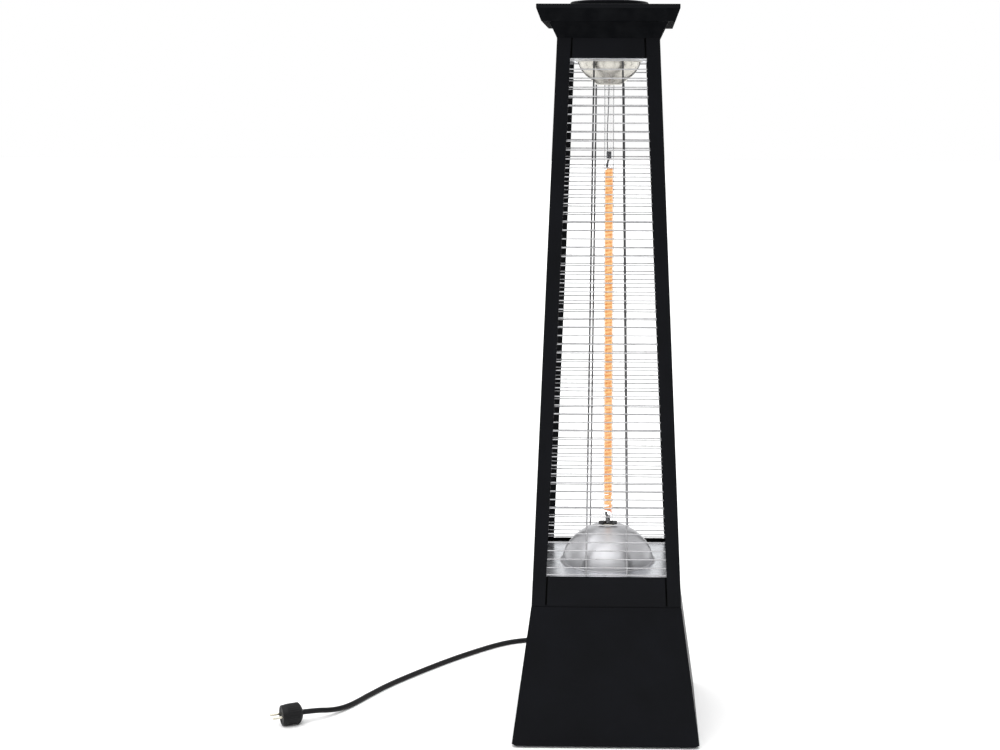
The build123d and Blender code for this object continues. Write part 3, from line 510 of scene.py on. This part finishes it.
def makeTie():
    # a woven strap round the layers of cord, its free end lapped over the outside
    angle = math.radians(tieShape["angle"])
    outward = Vector((math.cos(angle), math.sin(angle), 0))
    cordDiameter = 2 * cordShape["radius"]
    lowest = cordShape["hankFoot"] + cordShape["radius"] + cordDiameter * tieShape["angle"] / 360
    bm = bmesh.new()
    hoop = bmesh.ops.create_circle(bm, segments=tieShape["segments"],
                                   radius=(cordShape["radius"] + tieShape["slack"]) * mm)["verts"]
    halfStep = Matrix.Rotation(math.pi / tieShape["segments"], 3, "Z")
    bmesh.ops.rotate(bm, cent=(0, 0, 0), matrix=halfStep, verts=hoop)
    # the circle is pulled to an oval as tall as two layers of cord, then widened into a band
    bmesh.ops.translate(bm, vec=(0, cordDiameter * mm, 0), verts=[vert for vert in hoop if vert.co.y > 0])
    band = bmesh.ops.extrude_edge_only(bm, edges=bm.edges[:])["geom"]
    bmesh.ops.translate(bm, vec=(0, 0, tieShape["width"] * mm),
                        verts=[item for item in band if isinstance(item, bmesh.types.BMVert)])
    bmesh.ops.recalc_face_normals(bm, faces=bm.faces)
    lapped = [face for face in bm.faces if face.normal.x > tieShape["lapFacing"]]
    lap = bmesh.ops.duplicate(bm, geom=lapped)["geom"]
    bmesh.ops.translate(bm, vec=(tieShape["wall"] * mm, 0, 0),
                        verts=[item for item in lap if isinstance(item, bmesh.types.BMVert)])
    # laid across the turns: the band's width runs along the cord
    centre = Vector((*cordShape["hankCentre"], lowest)) + outward * cordShape["hankRadius"]
    stand = Matrix.Rotation(angle, 4, "Z") @ Matrix.Rotation(math.pi / 2, 4, "X")
    middle = Matrix.Translation((0, 0, -tieShape["width"] / 2 * mm))
    bmesh.ops.transform(bm, matrix=Matrix.Translation(centre * mm) @ stand @ middle, verts=bm.verts)
    piece = newPiece("cordTie", meshFrom(bm, "cordTie"), tapeWeave, "cord_tie")
    wall = piece.modifiers.new("wall", "SOLIDIFY")
    wall.thickness = tieShape["wall"] * mm
    wall.offset = 1
    bevel = piece.modifiers.new("edges", "BEVEL")
    bevel.width = tieShape["edgeRound"] * mm
    bevel.segments = 2
    bevel.limit_method = "ANGLE"
    return piece


tie = makeTie()
print("plug and tie made")


sides = ("front", "right", "rear", "left")
paintedNodes = ["cap_collar", "cap_crown", "cap_disc"]
paintedNodes += [f"{level}_{side}_panel" for level in ("base", "lower", "upper") for side in sides]
paintedNodes += [f"post_{end}_{hand}" for end in ("front", "rear") for hand in ("left", "right")]
paintedSheets = {
    "edgeRound": 0.5,  # mm, the coat over a folded edge
    "grooveDepth": 1.0,  # mm behind a cross panel's face: what lies deeper is drawn black, a painted shade in the groove
    "underside": -0.25,  # a face whose normal's height is under this faces down
    "flat": 0.5,  # degrees: facets nearer to one plane than this are one face
}


def camel(nodeName):
    # a node's name as a piece's name
    first, *rest = nodeName.split("_")
    return first + "".join(word.title() for word in rest)


cageOutline = {"footHalf": 134.8, "footZ": 255.0, "lean": 0.04507}  # mm, and mm in for each mm up


def cageHalf(z):
    # from the axis to the middle of a cage side at a height
    return cageOutline["footHalf"] - cageOutline["lean"] * (z - cageOutline["footZ"])


def softenedCopy(nodeName):
    bm = bmesh.new()
    bm.from_mesh(nodes[nodeName].data)
    bmesh.ops.remove_doubles(bm, verts=bm.verts, dist=1e-6)
    flat = math.radians(paintedSheets["flat"])
    bmesh.ops.dissolve_limit(bm, angle_limit=flat, verts=bm.verts, edges=bm.edges)
    for face in bm.faces:
        face.material_index = 0  # the copy's own first material, not the CAD's
    mesh = meshFrom(bm, camel(nodeName))
    piece = newPiece(camel(nodeName), mesh, blackPaint, nodeName)
    if nodeName.startswith(("lower_", "upper_")):
        # painted shade: the stepped ends of a cross panel are drawn black, for the shadow in the slots
        # beside the posts
        piece.data.materials.append(grooveShadeBlack)
        for face in piece.data.polygons:
            reach = max(abs(face.center.x), abs(face.center.y)) / mm
            if reach < cageHalf(face.center.z / mm) - paintedSheets["grooveDepth"]:
                face.material_index = 1
    if nodeName.startswith("cap_"):
        # painted shade: what faces down takes a copy of the coat with almost no reflection
        piece.data.materials.append(shadedUndersideBlack)
        for face in piece.data.polygons:
            if face.normal.z < paintedSheets["underside"]:
                face.material_index = 1
    bevel = piece.modifiers.new("edges", "BEVEL")
    bevel.width = paintedSheets["edgeRound"] * mm
    bevel.segments = 2
    bevel.limit_method = "ANGLE"
    bevel.angle_limit = math.radians(sharpAngle)
    bevel.harden_normals = True
    return piece


for nodeName in paintedNodes:
    softenedCopy(nodeName)
print("painted sheets made")


grille = {
    "wireRadius": 1.1, "uprightRadius": 1.55, "pitch": 15.5, "count": 59,  # mm
    "topZ": 1223.0, "endZ": 311.0,  # the highest wire and the lowest
    "inset": 3.2, "endGap": 8.0,
    "uprightShare": 0.287,  # of the half width, less the gap beside the post
    "postGap": 4.0,
    "sunk": 0.4,  # mm that the weld lets a wire into its upright
    "bead": (2.0, 1.2, 1.5),  # half sizes of the squeezed metal at a weld
    "beadDepth": 0.9,  # wire radii behind the wire's middle
    "overrun": (2, 1),  # mm that an upright runs past the lowest and the highest wire
    "sides": 10, "beadSides": (8, 5),
}


def rod(bm, start, end, radius, sides):
    # a round wire between two points, its ends closed
    axis = end - start
    turn = axis.to_track_quat("Z", "Y").to_matrix().to_4x4()
    bmesh.ops.create_cone(bm, cap_ends=True, segments=sides, radius1=radius, radius2=radius,
                          depth=axis.length, matrix=Matrix.Translation((start + end) / 2) @ turn)


def makeGrille(side, turn):
    bm = bmesh.new()
    heights = [grille["topZ"] - grille["pitch"] * index for index in range(grille["count"])]
    heights.append(grille["endZ"])
    behind = grille["wireRadius"] + grille["uprightRadius"] - grille["sunk"]
    around, alongAxis = grille["beadSides"]
    for z in heights:
        half = cageHalf(z)
        depth = -(half - grille["inset"])
        reach = half - grille["endGap"]
        rod(bm, Vector((-reach, depth, z)) * mm, Vector((reach, depth, z)) * mm,
            grille["wireRadius"] * mm, grille["sides"])
        for hand in (-1, 1):
            # the resistance weld squeezes a small flat bead out at each crossing
            across = hand * grille["uprightShare"] * (half - grille["postGap"])
            cross = Vector((across, depth + grille["beadDepth"] * grille["wireRadius"], z))
            bead = bmesh.ops.create_uvsphere(bm, u_segments=around, v_segments=alongAxis, radius=mm)
            shape = Matrix.Diagonal((*grille["bead"], 1.0))
            bmesh.ops.transform(bm, matrix=Matrix.Translation(cross * mm) @ shape, verts=bead["verts"])
    bm.faces.ensure_lookup_table()
    crossFaces = len(bm.faces)
    below, above = grille["overrun"]
    for hand in (-1, 1):
        ends = []
        for z in (grille["endZ"] - below, grille["topZ"] + above):
            half = cageHalf(z)
            across = hand * grille["uprightShare"] * (half - grille["postGap"])
            ends.append(Vector((across, -(half - grille["inset"] - behind), z)) * mm)
        rod(bm, *ends, grille["uprightRadius"] * mm, grille["sides"])
    bm.faces.ensure_lookup_table()
    # the uprights take the darker copy of the wire, which carries painted shade
    for face in bm.faces[crossFaces:]:
        face.material_index = 1
    bmesh.ops.rotate(bm, cent=(0, 0, 0), matrix=Matrix.Rotation(turn, 3, "Z"), verts=bm.verts)
    mesh = meshFrom(bm, f"{side}Grille")
    piece = newPiece(f"{side}Grille", mesh, brightWire, f"grille_{side}")
    piece.data.materials.append(shadedUprightWire)
    return piece


for index, side in enumerate(sides):
    makeGrille(side, math.radians(90 * index))
print("grilles made")


coil = {
    "foot": 392.0, "top": 1036.0, "radius": 6.7, "pitch": 7.0,  # mm
    "loosePitch": 11.0, "looseTurns": 3,
    "band": 6.6, "thick": 1.2,
    "steps": 24, "ribbonSides": 8,
    "coldFoot": 14.0, "coldTop": 5.0,  # mm at each end that stay red
}


def makeCoil():
    # a flat carbon band wound into a spiral; the lowest turns are stretched
    bm = bmesh.new()
    looseHeight = coil["loosePitch"] * coil["looseTurns"]
    tightTurns = (coil["top"] - coil["foot"] - looseHeight - coil["band"]) / coil["pitch"]
    z = coil["foot"] + coil["band"] / 2
    band = bm.verts.layers.float.new("band")  # 0 at the middle of the ribbon, 1 at its edges: the mask of its painted highlight and shade
    warmth = bm.verts.layers.float.new("warmth")
    ring = []
    for step in range(coil["ribbonSides"]):
        swing = 2 * math.pi * step / coil["ribbonSides"]
        across = coil["radius"] + 0.5 * coil["thick"] * math.cos(swing)
        height = z + 0.5 * coil["band"] * math.sin(swing)
        ring.append(bm.verts.new((across * mm, 0, height * mm)))
        ring[-1][band] = abs(math.sin(swing))
    profile = ring + [bm.edges.new(pair) for pair in zip(ring, ring[1:] + ring[:1])]
    for turns, pitch in ((coil["looseTurns"], coil["loosePitch"]), (tightTurns, coil["pitch"])):
        steps = round(turns * coil["steps"])
        made = bmesh.ops.spin(bm, geom=profile, cent=(0, 0, 0), axis=(0, 0, 1), steps=steps,
                              dvec=(0, 0, pitch * turns / steps * mm), angle=2 * math.pi * turns)
        profile = made["geom_last"]
    bmesh.ops.holes_fill(bm, edges=[edge for edge in bm.edges if edge.is_boundary])
    for vert in bm.verts:
        height = vert.co.z / mm
        rise = min((height - coil["foot"]) / coil["coldFoot"], (coil["top"] - height) / coil["coldTop"])
        vert[warmth] = min(1.0, max(0.0, rise))
    mesh = meshFrom(bm, "glowingSpiral")
    return newPiece("glowingSpiral", mesh, glowing, "heating_coil")


def wire(name, points, radius):
    # a thin wire along a smooth line, as a mesh
    curve = bpy.data.curves.new(name, "CURVE")
    curve.dimensions = "3D"
    curve.bevel_depth = radius * mm
    curve.bevel_resolution = 3
    spline = curve.splines.new("NURBS")
    spline.points.add(len(points) - 1)
    for point, place in zip(spline.points, points):
        point.co = (*(value * mm for value in place), 1)
    spline.order_u = 3
    spline.use_endpoint_u = True
    made = bpy.data.objects.new(name, curve)
    bpy.context.scene.collection.objects.link(made)
    mesh = bpy.data.meshes.new_from_object(made.evaluated_get(bpy.context.evaluated_depsgraph_get()))
    bpy.data.objects.remove(made)
    return mesh


leads = {
    # heights of the crimped sleeve, the hook's two ends and the wire's end, and how far the wire bows
    "upper": {"crimp": (1051.0, 1064.0), "hook": (1034.0, 1054.0), "wire": 1240.0, "bow": -3.5},
    "lower": {"crimp": (372.0, 386.0), "hook": (395.0, 383.0), "wire": 282.0, "bow": -1.2},
}
leadShape = {
    "sleeveRadius": 4.4, "sleeveSides": 20, "sleeveCuts": 9,
    "markPlace": 0.45, "markSpread": 0.18,  # shares of the sleeve's half length
    "markDepth": 0.32, "markSpill": 0.02,  # shares of its radius, pressed in and spread sideways
    "hookRadius": 2.0, "wireRadius": 0.8,
    "hookPath": [(-3.0, -5.5), (-3.6, -4.0), (-2.2, -1.5), (-0.8, -0.5), (0, 0)],  # evenly spaced in height
    "wireSteps": (22, 44),  # mm from the sleeve's middle to the wire's first bends
}


def makeLead(level):
    # a crimped nickel sleeve, its thin lead and the hook that holds the coil's last turn
    facts = leads[level]
    low, high = facts["crimp"]
    middle, half = (low + high) / 2, (high - low) / 2
    radius = leadShape["sleeveRadius"] * mm
    bm = bmesh.new()
    bmesh.ops.create_cone(bm, cap_ends=True, segments=leadShape["sleeveSides"],
                          radius1=radius, radius2=radius, depth=2 * half * mm,
                          matrix=Matrix.Translation((0, 0, middle * mm)))
    upright = [edge for edge in bm.edges if abs(edge.verts[0].co.z - edge.verts[1].co.z) > half * mm]
    bmesh.ops.subdivide_edges(bm, edges=upright, cuts=leadShape["sleeveCuts"])
    for vert in bm.verts:
        # two rows of crimp marks flatten the sleeve from front and back, and it spreads a little sideways
        share = (vert.co.z / mm - middle) / half
        pinch = math.exp(-((abs(share) - leadShape["markPlace"]) / leadShape["markSpread"]) ** 2)
        vert.co.y *= 1 - leadShape["markDepth"] * pinch
        vert.co.x *= 1 + leadShape["markSpill"] * pinch
    hookStart, hookEnd = facts["hook"]
    away = 1 if hookEnd > hookStart else -1
    bow = facts["bow"]
    rise = (hookEnd - hookStart) / (len(leadShape["hookPath"]) - 1)
    hook = [(x, y, hookStart + rise * index) for index, (x, y) in enumerate(leadShape["hookPath"])]
    near, far = leadShape["wireSteps"]
    lead = [(0.4 * bow, 0, middle), (bow, 0.5, middle + near * away), (0.9 * bow, 0.5, middle + far * away),
            (0, -0.4, facts["wire"] * 0.6 + high * 0.4), (0, 0, facts["wire"])]
    for name, points, thickness in (("hook", hook, leadShape["hookRadius"]),
                                    ("lead", lead, leadShape["wireRadius"])):
        bm.from_mesh(wire(name, points, thickness))
    mesh = meshFrom(bm, f"{level}Lead")
    return newPiece(f"{level}Lead", mesh, shadedNickelLead, f"{level}_lead")


makeCoil()
for level in leads:
    makeLead(level)
print("heating element made")


domes = {
    "wall": 0.8,  # mm
    "steps": 128,
    "lower": {
        "slot": "spun_aluminium", "material": spunMetal,
        # radius and height, from the rim to the flat end
        "outline": [(89.5, 302.7), (89.3, 303.4), (86.4, 303.6), (85.3, 304.3), (84.6, 309), (82.8, 316.5),
                    (79.6, 325), (75, 333), (69, 341), (61.5, 348.8), (53, 355.6), (44, 361), (34, 365.8),
                    (25, 368.9), (22.5, 369.4), (20, 369.5), (9.6, 369.5)],
    },
    "upper": {
        "slot": "spun_aluminium_warm", "material": reflectorWithPaintedWarmth,
        "outline": [(58.5, 1224.8), (58.3, 1224.1), (56.2, 1223.8), (55.3, 1223), (53.8, 1217.5),
                    (50.6, 1210.8), (46.6, 1205), (41.5, 1199.3), (36.2, 1194.9), (30, 1190), (25.5, 1186),
                    (22.8, 1183.8), (20.8, 1183.1), (19, 1183), (9.6, 1183)],
    },
}


def makeDome(level):
    facts = domes[level]
    bm = spun(facts["outline"], steps=domes["steps"])
    bmesh.ops.recalc_face_normals(bm, faces=bm.faces)
    bmesh.ops.solidify(bm, geom=bm.faces[:], thickness=domes["wall"] * mm)
    mesh = meshFrom(bm, f"{level}Dome")
    return newPiece(f"{level}Dome", mesh, facts["material"], f"{level}_dome_reflector")


for level in ("lower", "upper"):
    makeDome(level)
print("domes made")


studio = {
    "floor": "f6f6f6", "floorSize": 80.0,  # m
    "backdrop": 1.0,  # the white paper behind the heater, and what the camera sees all round
    "room": 0.14,  # the darker room in front, low down, which shows in the metal
    "ceiling": 0.95,
    "paperEdge": (0.1, 0.6), "ceilingEdge": (0.08, 0.42),  # how far back and up the light grows to its full
    "skyLight": {"strength": 2.5, "angle": 80, "lean": (16, -10)},  # degrees
}


def makeStudio():
    bm = bmesh.new()
    bmesh.ops.create_grid(bm, x_segments=4, y_segments=4, size=studio["floorSize"] / 2)
    mesh = meshFrom(bm, "studioFloor")
    floor = bpy.data.objects.new("studioFloor", mesh)
    bpy.context.scene.collection.objects.link(floor)
    material = newMaterial("paleStudioPaper", {
        "Base Color": hexColour(studio["floor"]), "Roughness": 0.9, "Specular IOR Level": 0.1})[0]
    floor.data.materials.append(material)
    world = bpy.data.worlds.new("studioWorld")
    world.use_nodes = True
    tree = world.node_tree
    background = tree.nodes["Background"]
    background.inputs["Color"].default_value = (1.0, 1.0, 1.0, 1.0)
    # white behind and overhead, a dark room in front, and plain white wherever it is looked at directly
    paperStart, paperEnd = studio["paperEdge"]
    ceilingStart, ceilingEnd = studio["ceilingEdge"]
    direction = addNode(tree, "ShaderNodeTexCoord").outputs["Generated"]
    parts = addNode(tree, "ShaderNodeSeparateXYZ", links={"Vector": direction})
    behind = addNode(tree, "ShaderNodeMapRange", {"interpolation_type": "SMOOTHSTEP"}, {
        "Value": parts.outputs["Y"], "From Min": paperStart, "From Max": paperEnd,
        "To Min": studio["room"], "To Max": studio["backdrop"]})
    above = addNode(tree, "ShaderNodeMapRange", {"interpolation_type": "SMOOTHSTEP"}, {
        "Value": parts.outputs["Z"], "From Min": ceilingStart, "From Max": ceilingEnd,
        "To Min": studio["room"], "To Max": studio["ceiling"]})
    lit = addNode(tree, "ShaderNodeMath", {"operation": "MAXIMUM"}, {
        0: behind.outputs["Result"], 1: above.outputs["Result"]})
    rays = addNode(tree, "ShaderNodeLightPath")
    seen = addNode(tree, "ShaderNodeMath", {"operation": "MAXIMUM"}, {
        0: rays.outputs["Is Camera Ray"], 1: rays.outputs["Is Transmission Ray"]})
    strength = addNode(tree, "ShaderNodeMath", {"operation": "MAXIMUM"}, {
        0: lit.outputs["Value"], 1: seen.outputs["Value"]})
    tree.links.new(strength.outputs["Value"], background.inputs["Strength"])
    bpy.context.scene.world = world
    sky = studio["skyLight"]
    overhead = bpy.data.lights.new("skyLight", "SUN")
    overhead.energy = sky["strength"]
    overhead.angle = math.radians(sky["angle"])
    item = bpy.data.objects.new("skyLight", overhead)
    item.rotation_euler = (math.radians(sky["lean"][0]), math.radians(sky["lean"][1]), 0)
    bpy.context.scene.collection.objects.link(item)
    bpy.context.scene.view_settings.view_transform = "Standard"


makeStudio()
print("studio set")
